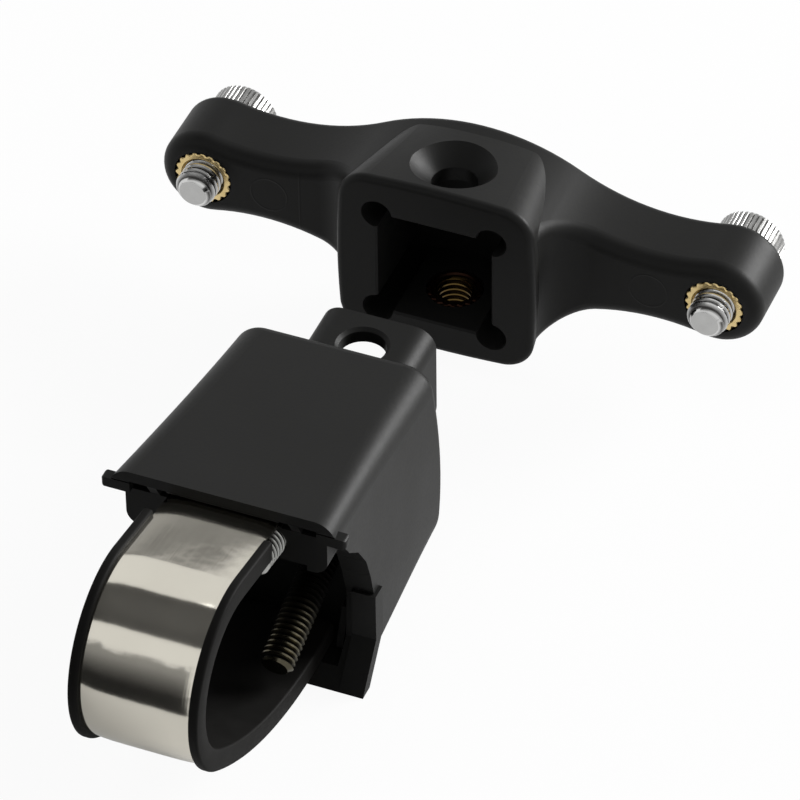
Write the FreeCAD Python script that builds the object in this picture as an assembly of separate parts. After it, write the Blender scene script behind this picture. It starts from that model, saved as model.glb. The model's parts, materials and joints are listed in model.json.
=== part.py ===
"""Strap-clamp bottle cage adapter, shown with its cage bracket drawn off the clamp.

The clamp straps round a bicycle tube.  A square peg at its back takes the cage bracket, whose
two thumbscrews carry a bottle cage.  Units are millimetres.  The origin is the centre of the
strapped tube, +X runs along the tube, +Y points from the tube to the bracket and +Z is up.
"""
import FreeCAD
import Part
import math
import os

V = FreeCAD.Vector
X_AXIS = V(1, 0, 0)
Y_AXIS = V(0, 1, 0)
Z_AXIS = V(0, 0, 1)

# Strap: a rubber liner with a steel band lying in its channel
tube_radius = 8.9
liner_floor = 1.5
liner_lip_rise = 0.4
liner_width = 15.0
band_width = 12.7
band_thickness = 0.7
band_clearance = 0.03
top_run_slope = 9.6
front_arc_end = 233.0
tail_radius = 47.0
tail_end_angle = 275.0
liner_top_run = 7.7
band_top_run = 24.5
band_tail_short = 2.0

# Lines that the two halves share
peg_axis_z = -6.4
shoulder_y = 45.7
slide_clearance = 0.2
seat_gap = 0.3
pull_off = 28.1

# Clamp housing, heights taken from the peg's axis
housing_back_half_width = 10.4
housing_back_low_half_width = 11.8
housing_front_half_width = 13.2
housing_front_low_half_width = 12.2
housing_front_bulge = 0.3
housing_back_bulge = 1.5
housing_top_back = 12.9
housing_top_front = 17.3
lip_front_y = 13.2
lip_thickness = 1.4
toe_y = 19.8
saddle_line = [(1.2, 2.1), (3.6, 5.1), (4.1, 5.9), (6.8, 8.2), (9.0, 11.5), (10.2, 14.7), (11.5, 19.4)]
toe_slope_run = 4.6
toe_slope_rise = 4.4
housing_lip_edge_radius = 2.5
housing_edge_radius = 3.5
housing_toe_edge_radius = 1.5
housing_bottom_radius = 7.0
housing_back_radius = 1.6
wall_inside_half = 9.4
tail_end_gap = 2.74
screw_cover = 0.3
cross_wall_half = 11.8
cross_wall_set_back = 0.9
cross_wall_depth = 4.4
cross_wall_round = 1.8
jaw_floor_thickness = 1.9
jaw_clearance = 0.05
guide_rib_gap = 0.5
guide_rib_thickness = 0.8
guide_rib_height = 4.5
ear_reach = 1.1
ear_depth = 1.3
ear_thickness = 1.3
ear_drop = 0.4
ear_set_back = 0.1
ear_round = 0.4
inner_pocket_width = 1.2
outer_pocket_width = 2.1
pocket_rib = 1.1
pocket_height = 1.7
pocket_depth = 4.0
slot_clearance = 0.15
flange_half_width = 13.2
flange_inner_half = 10.3
flange_thickness = 2.0
flange_front_y = 23.9
flange_top = -2.4
flange_bend = -8.8

# Peg and its lock hole
peg_width = 13.8
peg_length = 12.8
peg_corner_radius = 2.6
peg_end_chamfer = 0.8
peg_wall = 1.9
lock_hole_radius = 2.75
lock_hole_chamfer = 0.4
lock_hole_y = 6.9

# Screws of the clamp
clamp_screw_radius = 2.0
screw_clearance = 0.05
screw_end_chamfer = 0.5
hex_key_across = 2.0
hex_key_depth = 2.2
anchor_screw_x = 5.0
anchor_screw_below_band = 0.5
anchor_screw_front = 9.4
anchor_screw_length = 19.4
tension_screw_x = 5.6
tension_screw_tilt = 18.0
tension_tip_y = 13.3
tension_tip_z = -12.5
tension_screw_length = 25.0

# Cage bracket, depths taken from the front face of its arms
cage_spacing = 64.0
arm_end_radius = 5.6
arm_depth = 9.2
arm_front_edge_radius = 1.8
arm_back_edge_radius = 1.0
arm_middle_half_height = 11.0
arm_curve_radius = 26.0
block_half_width = 12.0
block_back_half_width = 9.6
block_half_height = 11.6
block_rise = 0.5
block_bulge = 0.5
block_corner_radius = 4.0
block_reach = 6.6
block_set_in = 0.15
block_mouth_radius = 0.8
arm_root_radius = 5.0
socket_corner_relief = 1.9
socket_mouth_chamfer = 0.25
socket_floor_gap = 0.3
countersink_radius = 5.2
countersink_depth = 2.6
countersink_step = 0.25

# Brass inserts and thumbscrews
insert_radius = 3.6
insert_length = 7.4
insert_clearance = 0.02
insert_lobes = 20
insert_lobe_depth = 0.3
lock_insert_radius = 3.4
lock_insert_length = 4.3
tension_insert_radius = 3.2
tension_insert_length = 6.0
tension_insert_cover = 1.0
cage_screw_radius = 2.45
cage_screw_reach = 3.1
cage_tip_chamfer = 0.7
cage_neck_radius = 2.3
cage_neck_ahead = 0.4
screw_head_radius = 4.1
screw_head_height = 4.0
screw_head_gap = 0.2
screw_head_chamfer = 0.5
head_flutes = 40
head_flute_depth = 0.2
head_dish_radius = 2.5
head_dish_depth = 0.5

# How far a cut runs past the face it opens, and how close counts as touching
overrun = 1.0
touch = 0.01
straight_share = 0.95

# Values worked out from the sizes above
rim_radius = tube_radius + liner_floor + band_thickness + liner_lip_rise
band_inner = tube_radius + liner_floor + band_clearance
band_outer = tube_radius + liner_floor + band_thickness
channel_half = band_width / 2 + band_clearance
top_angle = 90.0 - top_run_slope
tail_centre_y = (rim_radius - tail_radius) * math.cos(math.radians(front_arc_end))
tail_centre_z = (rim_radius - tail_radius) * math.sin(math.radians(front_arc_end))
tail_end_y = tail_centre_y + tail_radius * math.cos(math.radians(tail_end_angle))
cavity_back_y = tail_end_y + tail_end_gap
jaw_floor_z = tail_centre_z - tail_radius - jaw_clearance
housing_bottom = peg_axis_z - jaw_floor_z + jaw_floor_thickness
socket_width = peg_width + 2 * slide_clearance
socket_depth = peg_length + socket_floor_gap - seat_gap
mouth_y = shoulder_y + seat_gap + pull_off
arm_front_y = mouth_y + block_reach
lock_y = shoulder_y + lock_hole_y
bracket_lock_y = mouth_y + lock_hole_y - seat_gap


def polar(radius, angle):
    """Point of the YZ plane at a distance and angle from the tube's centre."""
    turn = math.radians(angle)
    return V(0, radius * math.cos(turn), radius * math.sin(turn))


def from_axis(y, z):
    """Point of the YZ plane with its height taken from the peg's axis."""
    return V(0, y, peg_axis_z + z)


def face_of(points):
    return Part.Face(Part.makePolygon(points + [points[0]]))


def prism(face, direction, start, end):
    """Extrudes a face along an axis, from one station on it to another."""
    solid = face.extrude(direction * (end - start))
    solid.translate(direction * start)
    return solid


def round_edges(solid, radius, test):
    """Rounds the edges whose middle point and direction pass a test."""
    chosen = []
    for edge in solid.Edges:
        middle = edge.valueAt((edge.FirstParameter + edge.LastParameter) / 2)
        if test(edge, middle):
            chosen.append(edge)
    return solid.makeFillet(radius, chosen)


def runs_along(edge, direction):
    """True for a straight edge along a direction."""
    chord = edge.valueAt(edge.LastParameter) - edge.valueAt(edge.FirstParameter)
    return abs(chord.dot(direction)) > straight_share * edge.Length


def frustum(low, high):
    """Solid with flat sides between two four-cornered outlines."""
    faces = [face_of(low), face_of(high)]
    for index in range(4):
        after = (index + 1) % 4
        faces.append(face_of([low[index], low[after], high[after], high[index]]))
    return Part.Solid(Part.Shell(faces))


def ring_notches(count, radius, depth, length):
    """V notches along +Y round a cylinder's rim."""
    half = math.pi / count
    notches = []
    for index in range(count):
        turn = 2 * math.pi * index / count
        points = []
        for step, reach in ((-half, radius + depth), (0, radius - depth), (half, radius + depth)):
            points.append(V(reach * math.cos(turn + step), 0, reach * math.sin(turn + step)))
        notches.append(prism(face_of(points), Y_AXIS, 0, length))
    return notches


def centred_box(width, depth, height, base):
    """Box centred on base in X and Z that starts at base in Y."""
    return Part.makeBox(width, depth, height, base - V(width / 2, 0, height / 2))


def largest_solid(shape):
    return max(shape.Solids, key=lambda solid: solid.Volume)


# Strap

def top_run_point(radius, length):
    """Point on the straight run that leaves the front arc towards the housing's lip."""
    back = V(0, math.sin(math.radians(top_angle)), -math.cos(math.radians(top_angle)))
    return polar(radius, top_angle) + back * length


def tail_point(radius, angle):
    """Point on the wide arc that leads the strap under the tube to the lower jaw."""
    centre = V(0, tail_centre_y, tail_centre_z)
    return centre + polar(tail_radius - rim_radius + radius, angle)


def strap_edges(radius, top_length, tail_angle):
    """Edges of one surface of the strap, from its top end to its tail."""
    start = polar(radius, top_angle)
    front = polar(radius, (top_angle + front_arc_end) / 2)
    turn = polar(radius, front_arc_end)
    middle = tail_point(radius, (front_arc_end + tail_angle) / 2)
    end = tail_point(radius, tail_angle)
    return [
        Part.LineSegment(top_run_point(radius, top_length), start).toShape(),
        Part.Arc(start, front, turn).toShape(),
        Part.Arc(turn, middle, end).toShape(),
    ]


def strap_layer(inner, outer, half_width, top_length, tail_angle):
    """Solid between two surfaces of the strap."""
    outside = strap_edges(outer, top_length, tail_angle)
    inside = strap_edges(inner, top_length, tail_angle)
    tail_cap = Part.LineSegment(tail_point(outer, tail_angle), tail_point(inner, tail_angle))
    top_cap = Part.LineSegment(top_run_point(inner, top_length), top_run_point(outer, top_length))
    edges = outside + [tail_cap.toShape()] + inside + [top_cap.toShape()]
    face = Part.Face(Part.Wire(Part.__sortEdges__(edges)))
    return prism(face, X_AXIS, -half_width, half_width)


def make_liner():
    body = strap_layer(tube_radius, rim_radius, liner_width / 2, liner_top_run, tail_end_angle)
    channel_top = rim_radius + liner_lip_rise
    floor = tube_radius + liner_floor
    longer = liner_top_run + liner_floor
    channel = strap_layer(floor, channel_top, channel_half, longer, tail_end_angle + overrun)
    return body.cut(channel)


def make_band():
    tail_angle = tail_end_angle - math.degrees(band_tail_short / tail_radius)
    return strap_layer(band_inner, band_outer, band_width / 2, band_top_run, tail_angle)


# Screws of the clamp

def headless_screw(radius, length):
    """Set screw along +Y from its tip at the origin, with a hex socket in its far end."""
    body = Part.makeCylinder(radius, length, V(0, 0, 0), Y_AXIS)
    body = body.makeChamfer(screw_end_chamfer, [e for e in body.Edges if e.Closed])
    corner = hex_key_across / math.sqrt(3)
    points = []
    for step in range(6):
        turn = math.radians(60 * step)
        points.append(V(corner * math.cos(turn), 0, corner * math.sin(turn)))
    socket = prism(face_of(points), Y_AXIS, length - hex_key_depth, length)
    return body.cut(socket)


def anchor_line():
    """Tip of the anchor screw and the direction back along it."""
    level = band_inner - anchor_screw_below_band - clamp_screw_radius
    tip = top_run_point(level, anchor_screw_front - polar(level, top_angle).y)
    ahead = top_run_point(level, anchor_screw_front)
    direction = (ahead - tip).normalize()
    return tip + V(anchor_screw_x, 0, 0), direction


def tension_line():
    """Tip of the tension screw and the direction back along it."""
    tilt = math.radians(tension_screw_tilt)
    tip = V(tension_screw_x, tension_tip_y, tension_tip_z)
    return tip, V(0, math.cos(tilt), math.sin(tilt))


def laid_along(shape, tip, direction):
    """Turns a shape made along +Y to lie along a direction from a tip."""
    turned = shape.copy()
    turned.Placement = FreeCAD.Placement(tip, FreeCAD.Rotation(Y_AXIS, direction))
    return turned


def screw_bore(line, length):
    """Bore for a set screw, open a little ahead of its tip."""
    tip, direction = line
    radius = clamp_screw_radius + screw_clearance
    hole = Part.makeCylinder(radius, length + seat_gap, V(0, 0, 0), Y_AXIS)
    return laid_along(hole, tip, direction)


def tension_insert_seat():
    """Point on the tension screw's axis where its brass insert begins."""
    tip, direction = tension_line()
    return tip + direction * ((cavity_back_y + tension_insert_cover - tip.y) / direction.y)


# Clamp housing

def housing_profile():
    """Side view of the housing: sloping top, overhanging lip, stepped V saddle and lower toe."""
    lip_under = housing_top_front - lip_thickness
    points = [
        from_axis(shoulder_y, -housing_bottom),
        from_axis(shoulder_y, housing_top_back),
        from_axis(lip_front_y, housing_top_front),
        from_axis(lip_front_y, lip_under),
    ]
    for set_back, drop in saddle_line:
        points.append(from_axis(lip_front_y + set_back, lip_under - drop))
    points.append(from_axis(toe_y + toe_slope_run, toe_slope_rise - housing_bottom))
    points.append(from_axis(toe_y, -housing_bottom))
    return face_of(points)


def housing_section(top_half, low_half, bulge, y):
    """Cross-section of the housing's envelope: flat top and bottom, bulging sides."""
    low = peg_axis_z - housing_bottom
    high = peg_axis_z + housing_top_front
    out = V((top_half + low_half) / 2 + bulge, y, (low + high) / 2)
    across = V(-out.x, y, out.z)
    return Part.Wire([
        Part.LineSegment(V(-low_half, y, low), V(low_half, y, low)).toShape(),
        Part.Arc(V(low_half, y, low), out, V(top_half, y, high)).toShape(),
        Part.LineSegment(V(top_half, y, high), V(-top_half, y, high)).toShape(),
        Part.Arc(V(-top_half, y, high), across, V(-low_half, y, low)).toShape(),
    ])


def housing_envelope():
    """Block that the side view is cut from: its top widens from the shoulder to the lip."""
    wide = housing_front_half_width
    low = housing_front_low_half_width
    front = housing_section(wide, low, housing_front_bulge, lip_front_y)
    wide = housing_back_half_width
    low = housing_back_low_half_width
    back = housing_section(wide, low, housing_back_bulge, shoulder_y)
    return Part.makeLoft([front, back], True, True)


def make_peg():
    base = V(0, shoulder_y - peg_end_chamfer, peg_axis_z)
    peg = centred_box(peg_width, peg_length + peg_end_chamfer, peg_width, base)
    peg = round_edges(peg, peg_corner_radius, lambda edge, middle: runs_along(edge, Y_AXIS))
    end_face = max(peg.Faces, key=lambda face: face.CenterOfMass.y)
    return peg.makeChamfer(peg_end_chamfer, end_face.Edges)


def peg_hollow():
    """Square hollow of the peg, open at its far end."""
    inside = peg_width - 2 * peg_wall
    hollow = centred_box(inside, peg_length + overrun, inside, V(0, shoulder_y, peg_axis_z))
    inner_corner = max(peg_corner_radius - peg_wall, peg_wall / 2)
    return round_edges(hollow, inner_corner, lambda edge, middle: runs_along(edge, Y_AXIS))


def lock_hole():
    """Hole across the peg for the lock bolt, with a small chamfer at both rims."""
    half = peg_width / 2
    wide = lock_hole_radius + lock_hole_chamfer
    centre = V(0, lock_y, peg_axis_z)
    hole = Part.makeCylinder(lock_hole_radius, 2 * peg_width, centre - Z_AXIS * peg_width, Z_AXIS)
    rims = []
    for side in (Z_AXIS, -Z_AXIS):
        rims.append(Part.makeCone(wide, lock_hole_radius, lock_hole_chamfer, centre + side * half, -side))
    return hole.fuse(rims)


def band_slot():
    """Slot behind the lip that takes the band's upper end."""
    low = band_inner - slot_clearance
    high = band_outer + slot_clearance
    end = band_top_run + seat_gap
    points = [
        top_run_point(low, 0),
        top_run_point(low, end),
        top_run_point(high, end),
        top_run_point(high, 0),
    ]
    half = band_width / 2 + slot_clearance
    return prism(face_of(points), X_AXIS, -half, half)


def lip_pockets():
    """Cored pockets on both sides of the band, two under each end of the lip."""
    top = peg_axis_z + housing_top_front - lip_thickness
    depth = overrun + pocket_depth
    near = band_width / 2 + slot_clearance
    pockets = []
    for width in (inner_pocket_width, outer_pocket_width):
        for low_x in (near, -near - width):
            corner = V(low_x, lip_front_y - overrun, top - pocket_height)
            pockets.append(Part.makeBox(width, depth, pocket_height, corner))
        near += width + pocket_rib
    return pockets


def jaw_guides():
    """Thin ribs on the lower jaw's floor that guide the strap's edges."""
    floor = jaw_floor_z
    inner = liner_width / 2 + guide_rib_gap
    ribs = []
    for low_x in (inner, -inner - guide_rib_thickness):
        start = toe_y + guide_rib_height
        points = [
            V(0, start, floor - jaw_floor_thickness / 2),
            V(0, cavity_back_y + overrun, floor - jaw_floor_thickness / 2),
            V(0, cavity_back_y + overrun, floor + guide_rib_height),
            V(0, start + guide_rib_height / 2, floor + guide_rib_height),
        ]
        ribs.append(prism(face_of(points), X_AXIS, low_x, low_x + guide_rib_thickness))
    return ribs


def roof_point(y):
    """Point on the sloping roof of the cavity, just under the anchor screw."""
    level = band_inner - anchor_screw_below_band - 2 * clamp_screw_radius - screw_cover
    start = polar(level, top_angle)
    return top_run_point(level, (y - start.y) / math.cos(math.radians(top_run_slope)))


def cavity():
    """Space between the side walls, from the lower jaw's floor to a roof under the anchor screw."""
    points = [
        V(0, 0, jaw_floor_z),
        V(0, cavity_back_y, jaw_floor_z),
        roof_point(cavity_back_y),
        roof_point(0),
    ]
    return prism(face_of(points), X_AXIS, -wall_inside_half, wall_inside_half)


def cross_wall():
    """Wall under the lip that holds the anchor screw's front end, rounded at its lower corners."""
    front = lip_front_y + cross_wall_set_back
    back = front + cross_wall_depth
    top = peg_axis_z + housing_top_front - lip_thickness - ear_drop
    low = roof_point(back).z
    size = V(2 * cross_wall_half, cross_wall_depth, top - low)
    wall = Part.makeBox(size.x, size.y, size.z, V(-cross_wall_half, front, low))
    wall_bottom = low + touch
    return round_edges(
        wall, cross_wall_round, lambda edge, middle: runs_along(edge, Y_AXIS) and middle.z < wall_bottom
    )


def lip_ears():
    """Small round-ended ears under the lip that stand out past both side walls."""
    lip_under = peg_axis_z + housing_top_front - lip_thickness
    tip = housing_front_half_width + ear_reach
    width = tip - wall_inside_half
    ears = []
    for low_x in (wall_inside_half, -tip):
        corner = V(low_x, lip_front_y + ear_set_back, lip_under - ear_drop - ear_thickness)
        ear = Part.makeBox(width, ear_depth, ear_thickness, corner)
        ears.append(round_edges(ear, ear_round, lambda edge, middle: abs(middle.x) > tip - touch))
    return ears


def jaw_flanges():
    """Plates that edge the lower jaw's two side walls."""
    low = -housing_bottom
    back = flange_thickness
    points = [
        from_axis(flange_front_y, flange_top),
        from_axis(flange_front_y, flange_bend),
        from_axis(toe_y, low),
        from_axis(toe_y + back, low),
        from_axis(flange_front_y + back, flange_bend),
        from_axis(flange_front_y + back, flange_top),
    ]
    face = face_of(points)
    right = prism(face, X_AXIS, flange_inner_half, flange_half_width)
    left = prism(face, X_AXIS, -flange_half_width, -flange_inner_half)
    return [right, left]


def round_long_edge(body, side, upper, front_radius, back_radius):
    """Rounds one long edge of the housing, with its own radius at the front and at the shoulder."""
    middle_z = peg_axis_z + (housing_top_back - housing_bottom) / 2
    found = []
    for edge in body.Edges:
        middle = edge.valueAt((edge.FirstParameter + edge.LastParameter) / 2)
        in_place = middle.x * side > 0 and (middle.z - middle_z) * upper > housing_top_back / 2
        if in_place and runs_along(edge, Y_AXIS):
            found.append(edge)
    edge = max(found, key=lambda item: item.Length)
    radii = [front_radius, back_radius]
    if edge.valueAt(edge.FirstParameter).y > edge.valueAt(edge.LastParameter).y:
        radii.reverse()
    return body.makeFillet(radii[0], radii[1], [edge])


def make_housing():
    reach = housing_front_half_width + housing_back_bulge + ear_reach
    body = prism(housing_profile(), X_AXIS, -reach, reach).common(housing_envelope())
    for side in (-1, 1):
        body = round_long_edge(body, side, 1, housing_lip_edge_radius, housing_edge_radius)
        body = round_long_edge(body, side, -1, housing_toe_edge_radius, housing_bottom_radius)
    body = round_edges(body, housing_back_radius, lambda edge, middle: middle.y > shoulder_y - touch)
    body = body.fuse(cross_wall()).cut(cavity())
    body = body.fuse([make_peg()] + jaw_guides() + lip_ears() + jaw_flanges())
    tools = [band_slot(), lock_hole(), peg_hollow()] + lip_pockets()
    tools.append(screw_bore(anchor_line(), anchor_screw_length))
    tools.append(screw_bore(tension_line(), tension_screw_length))
    seat_radius = tension_insert_radius + insert_clearance
    seat = Part.makeCylinder(seat_radius, tension_insert_length, V(0, 0, 0), Y_AXIS)
    tools.append(laid_along(seat, tension_insert_seat(), tension_line()[1]))
    return largest_solid(body.cut(tools).removeSplitter())


# Cage bracket

def arm_outline():
    """Front view of the arms: round ends, a slight waist and a swell in the middle, all tangent arcs."""
    bend = arm_curve_radius
    end_centre = V(cage_spacing / 2, 0, 0)
    crown_centre = V(0, 0, arm_middle_half_height - bend)
    apart = crown_centre - end_centre
    to_end = arm_end_radius + bend
    to_crown = 2 * bend
    along = (to_end ** 2 - to_crown ** 2 + apart.Length ** 2) / (2 * apart.Length)
    aside = math.sqrt(to_end ** 2 - along ** 2)
    across = V(apart.z, 0, -apart.x)
    waist_centre = end_centre + (apart * along + across * aside) * (1 / apart.Length)
    on_end = end_centre + (waist_centre - end_centre) * (arm_end_radius / to_end)
    meeting = (waist_centre + crown_centre) * 0.5
    low_point = waist_centre - V(0, 0, bend)
    edges = []
    for flip in (V(1, 0, 1), V(-1, 0, 1), V(1, 0, -1), V(-1, 0, -1)):
        p = [V(q.x * flip.x, 0, q.z * flip.z) for q in (on_end, low_point, meeting)]
        edges.append(Part.Arc(p[0], p[1], p[2]).toShape())
    for side in (-1, 1):
        crown = V(0, 0, side * arm_middle_half_height)
        left = V(-meeting.x, 0, side * meeting.z)
        right = V(meeting.x, 0, side * meeting.z)
        edges.append(Part.Arc(left, crown, right).toShape())
        low = V(side * on_end.x, 0, -on_end.z)
        high = V(side * on_end.x, 0, on_end.z)
        far = V(side * (end_centre.x + arm_end_radius), 0, 0)
        edges.append(Part.Arc(low, far, high).toShape())
    return Part.Face(Part.Wire(Part.__sortEdges__(edges)))


def arm_plan():
    """Top view of the arms, with hollow rounds where they leave the block."""
    side = block_half_width
    far = cage_spacing / 2 + 2 * arm_end_radius
    root = arm_root_radius
    diagonal = root * (1 - math.sqrt(0.5))
    right_low = V(side, -root, 0)
    right_high = V(side + root, 0, 0)
    left_low = V(-side, -root, 0)
    left_high = V(-side - root, 0, 0)
    corners = [
        right_high,
        V(far, 0, 0),
        V(far, arm_depth, 0),
        V(-far, arm_depth, 0),
        V(-far, 0, 0),
        left_high,
    ]
    edges = [Part.LineSegment(a, b).toShape() for a, b in zip(corners, corners[1:])]
    edges.append(Part.Arc(left_high, V(-side - diagonal, -diagonal, 0), left_low).toShape())
    edges.append(Part.LineSegment(left_low, right_low).toShape())
    edges.append(Part.Arc(right_low, V(side + diagonal, -diagonal, 0), right_high).toShape())
    return Part.Face(Part.Wire(Part.__sortEdges__(edges)))


def make_arms():
    body = prism(arm_outline(), Y_AXIS, -arm_root_radius, arm_depth)
    tall = arm_middle_half_height + arm_end_radius
    body = body.common(prism(arm_plan(), Z_AXIS, -tall, tall))

    def on_outline(middle):
        return abs(middle.z) > arm_end_radius / 3 or abs(middle.x) > cage_spacing / 2

    def front_rim(edge, middle):
        return on_outline(middle) and abs(middle.y) < touch

    def back_rim(edge, middle):
        return on_outline(middle) and middle.y > arm_depth - touch

    body = round_edges(body, arm_front_edge_radius, front_rim)
    return round_edges(body, arm_back_edge_radius, back_rim)


def block_outline(half_width, half_height, bulge, y, rise):
    """Front view of the block at one depth: a square with slightly bulging sides."""
    w = half_width
    low = rise - half_height
    high = rise + half_height
    corners = [V(-w, y, low), V(w, y, low), V(w, y, high), V(-w, y, high)]
    side = w + block_bulge
    bulges = [V(0, y, low - bulge), V(side, y, rise), V(0, y, high + bulge), V(-side, y, rise)]
    edges = []
    for index, middle in enumerate(bulges):
        edges.append(Part.Arc(corners[index], middle, corners[(index + 1) % 4]).toShape())
    return Part.Wire(edges)


def make_block():
    """Block round the socket: square at its mouth, and just inside the arms' swell at its back."""
    swell = arm_curve_radius - math.sqrt(arm_curve_radius ** 2 - block_back_half_width ** 2)
    back_half = arm_middle_half_height - swell - block_set_in
    back_y = arm_depth - arm_back_edge_radius - block_set_in
    front = block_outline(block_half_width, block_half_height, block_bulge, -block_reach, block_rise)
    back = block_outline(block_back_half_width, back_half, swell, back_y, 0)
    body = Part.makeLoft([front, back], True, True)
    body = round_edges(body, block_corner_radius, lambda edge, middle: runs_along(edge, Y_AXIS))
    return round_edges(body, block_mouth_radius, lambda edge, middle: middle.y < -block_reach + touch)


def block_top(y):
    """Height of the block's top over the socket's axis at one depth."""
    front = block_rise + block_half_height + block_bulge
    back = arm_middle_half_height - block_set_in
    back_y = arm_depth - arm_back_edge_radius - block_set_in
    return front + (back - front) * (y + block_reach) / (back_y + block_reach)


def square_at(y, half):
    return [V(-half, y, -half), V(half, y, -half), V(half, y, half), V(-half, y, half)]


def make_socket():
    """Square socket for the peg, with round reliefs along its corners."""
    half = socket_width / 2
    base = V(0, -block_reach, 0)
    parts = [centred_box(socket_width, socket_depth, socket_width, base)]
    for corner in square_at(-block_reach, half):
        parts.append(Part.makeCylinder(socket_corner_relief, socket_depth, corner, Y_AXIS))
    wide = square_at(-block_reach, half + socket_mouth_chamfer)
    parts.append(frustum(wide, square_at(-block_reach + socket_mouth_chamfer, half)))
    return parts[0].fuse(parts[1:])


def make_bracket():
    body = make_block().fuse(make_arms())
    tools = [make_socket()]
    lock_at = lock_hole_y - seat_gap - block_reach
    top = block_top(lock_at)
    tools.append(Part.makeCylinder(lock_hole_radius, top + overrun, V(0, lock_at, 0), Z_AXIS))
    rim = V(0, lock_at, top - countersink_step)
    cone_base = rim - Z_AXIS * countersink_depth
    tools.append(Part.makeCone(lock_hole_radius, countersink_radius, countersink_depth, cone_base, Z_AXIS))
    tools.append(Part.makeCylinder(countersink_radius, countersink_step + overrun, rim, Z_AXIS))
    lock_bore = lock_insert_radius + insert_clearance
    bore_length = top + overrun - socket_width / 2
    bore_base = V(0, lock_at, -top - overrun)
    tools.append(Part.makeCylinder(lock_bore, bore_length, bore_base, Z_AXIS))
    insert_bore = insert_radius + insert_clearance
    for x in (-cage_spacing / 2, cage_spacing / 2):
        tools.append(Part.makeCylinder(insert_bore, insert_length, V(x, 0, 0), Y_AXIS))
        tools.append(Part.makeCylinder(lock_hole_radius, arm_depth, V(x, 0, 0), Y_AXIS))
    bracket = largest_solid(body.cut(tools).removeSplitter())
    bracket.translate(V(0, arm_front_y, peg_axis_z))
    return bracket


# Brass inserts and thumbscrews

def lobed_insert(radius, length, bore):
    """Brass insert along +Y with a ring of shallow lobes on its rim."""
    body = Part.makeCylinder(radius, length, V(0, 0, 0), Y_AXIS)
    tools = ring_notches(insert_lobes, radius, insert_lobe_depth, length)
    tools.append(Part.makeCylinder(bore, length, V(0, 0, 0), Y_AXIS))
    return body.cut(tools)


def cage_insert(x):
    insert = lobed_insert(insert_radius, insert_length, cage_screw_radius + screw_clearance)
    insert.translate(V(x, arm_front_y, peg_axis_z))
    return insert


def make_tension_insert():
    bore = clamp_screw_radius + screw_clearance
    insert = lobed_insert(tension_insert_radius, tension_insert_length, bore)
    return laid_along(insert, tension_insert_seat(), tension_line()[1])


def make_lock_insert():
    insert = lobed_insert(lock_insert_radius, lock_insert_length, cage_screw_radius + screw_clearance)
    insert.rotate(V(0, 0, 0), X_AXIS, -90)
    insert.translate(V(0, bracket_lock_y, peg_axis_z - socket_width / 2))
    return insert


def thumbscrew(x):
    """Cage screw with a fluted head behind the arm, a neck in the insert and its thread ahead of it."""
    head_y = arm_depth + screw_head_gap
    tip_point = V(0, -cage_screw_reach, 0)
    thread_length = cage_screw_reach - cage_neck_ahead
    thread = Part.makeCylinder(cage_screw_radius, thread_length, tip_point, Y_AXIS)
    tip = [edge for edge in thread.Edges if edge.Closed and edge.CenterOfMass.y < touch - cage_screw_reach]
    thread = thread.makeChamfer(cage_tip_chamfer, tip)
    neck_base = V(0, -cage_neck_ahead, 0)
    neck = Part.makeCylinder(cage_neck_radius, cage_neck_ahead + head_y, neck_base, Y_AXIS)
    head = Part.makeCylinder(screw_head_radius, screw_head_height, V(0, head_y, 0), Y_AXIS)
    head = head.makeChamfer(screw_head_chamfer, [edge for edge in head.Edges if edge.Closed])
    tools = ring_notches(head_flutes, screw_head_radius, head_flute_depth, screw_head_height)
    for tool in tools:
        tool.translate(V(0, head_y, 0))
    dish_base = V(0, head_y + screw_head_height - head_dish_depth, 0)
    tools.append(Part.makeCylinder(head_dish_radius, head_dish_depth, dish_base, Y_AXIS))
    screw = thread.fuse([neck, head.cut(tools)]).removeSplitter()
    screw.translate(V(x, arm_front_y, peg_axis_z))
    return screw


def clamp_screw(line, length):
    tip, direction = line
    return laid_along(headless_screw(clamp_screw_radius, length), tip, direction)


def main():
    side = cage_spacing / 2
    pieces = {
        "clamp_housing": make_housing(),
        "rubber_liner": make_liner(),
        "steel_band": make_band(),
        "anchor_screw": clamp_screw(anchor_line(), anchor_screw_length),
        "tension_screw": clamp_screw(tension_line(), tension_screw_length),
        "tension_insert": make_tension_insert(),
        "cage_bracket": make_bracket(),
        "cage_insert_left": cage_insert(-side),
        "cage_insert_right": cage_insert(side),
        "lock_insert": make_lock_insert(),
        "thumbscrew_left": thumbscrew(-side),
        "thumbscrew_right": thumbscrew(side),
    }
    os.makedirs("parts", exist_ok=True)
    for name, shape in pieces.items():
        shape.exportStep(f"parts/{name}.step")
        box = shape.BoundBox
        print(name, shape.isValid(), len(shape.Solids), round(shape.Volume, 1), box)


main()
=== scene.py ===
# %% [markdown]
# # A strap-clamp bottle cage adapter
# The object comes in two halves.  The clamp has a black moulded housing, a rubber strap with a
# steel band and a square peg at its back.  The bracket has a square socket for that peg and two
# thumbscrews that carry a bottle cage.  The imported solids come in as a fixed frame: their
# places never change.  This lesson gives them finishes, and makes the strap, the brass inserts
# and the screws again in finer detail.

# %% Load the frame
import json
import math

import bmesh
import bpy
from mathutils import Matrix, Vector


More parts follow.
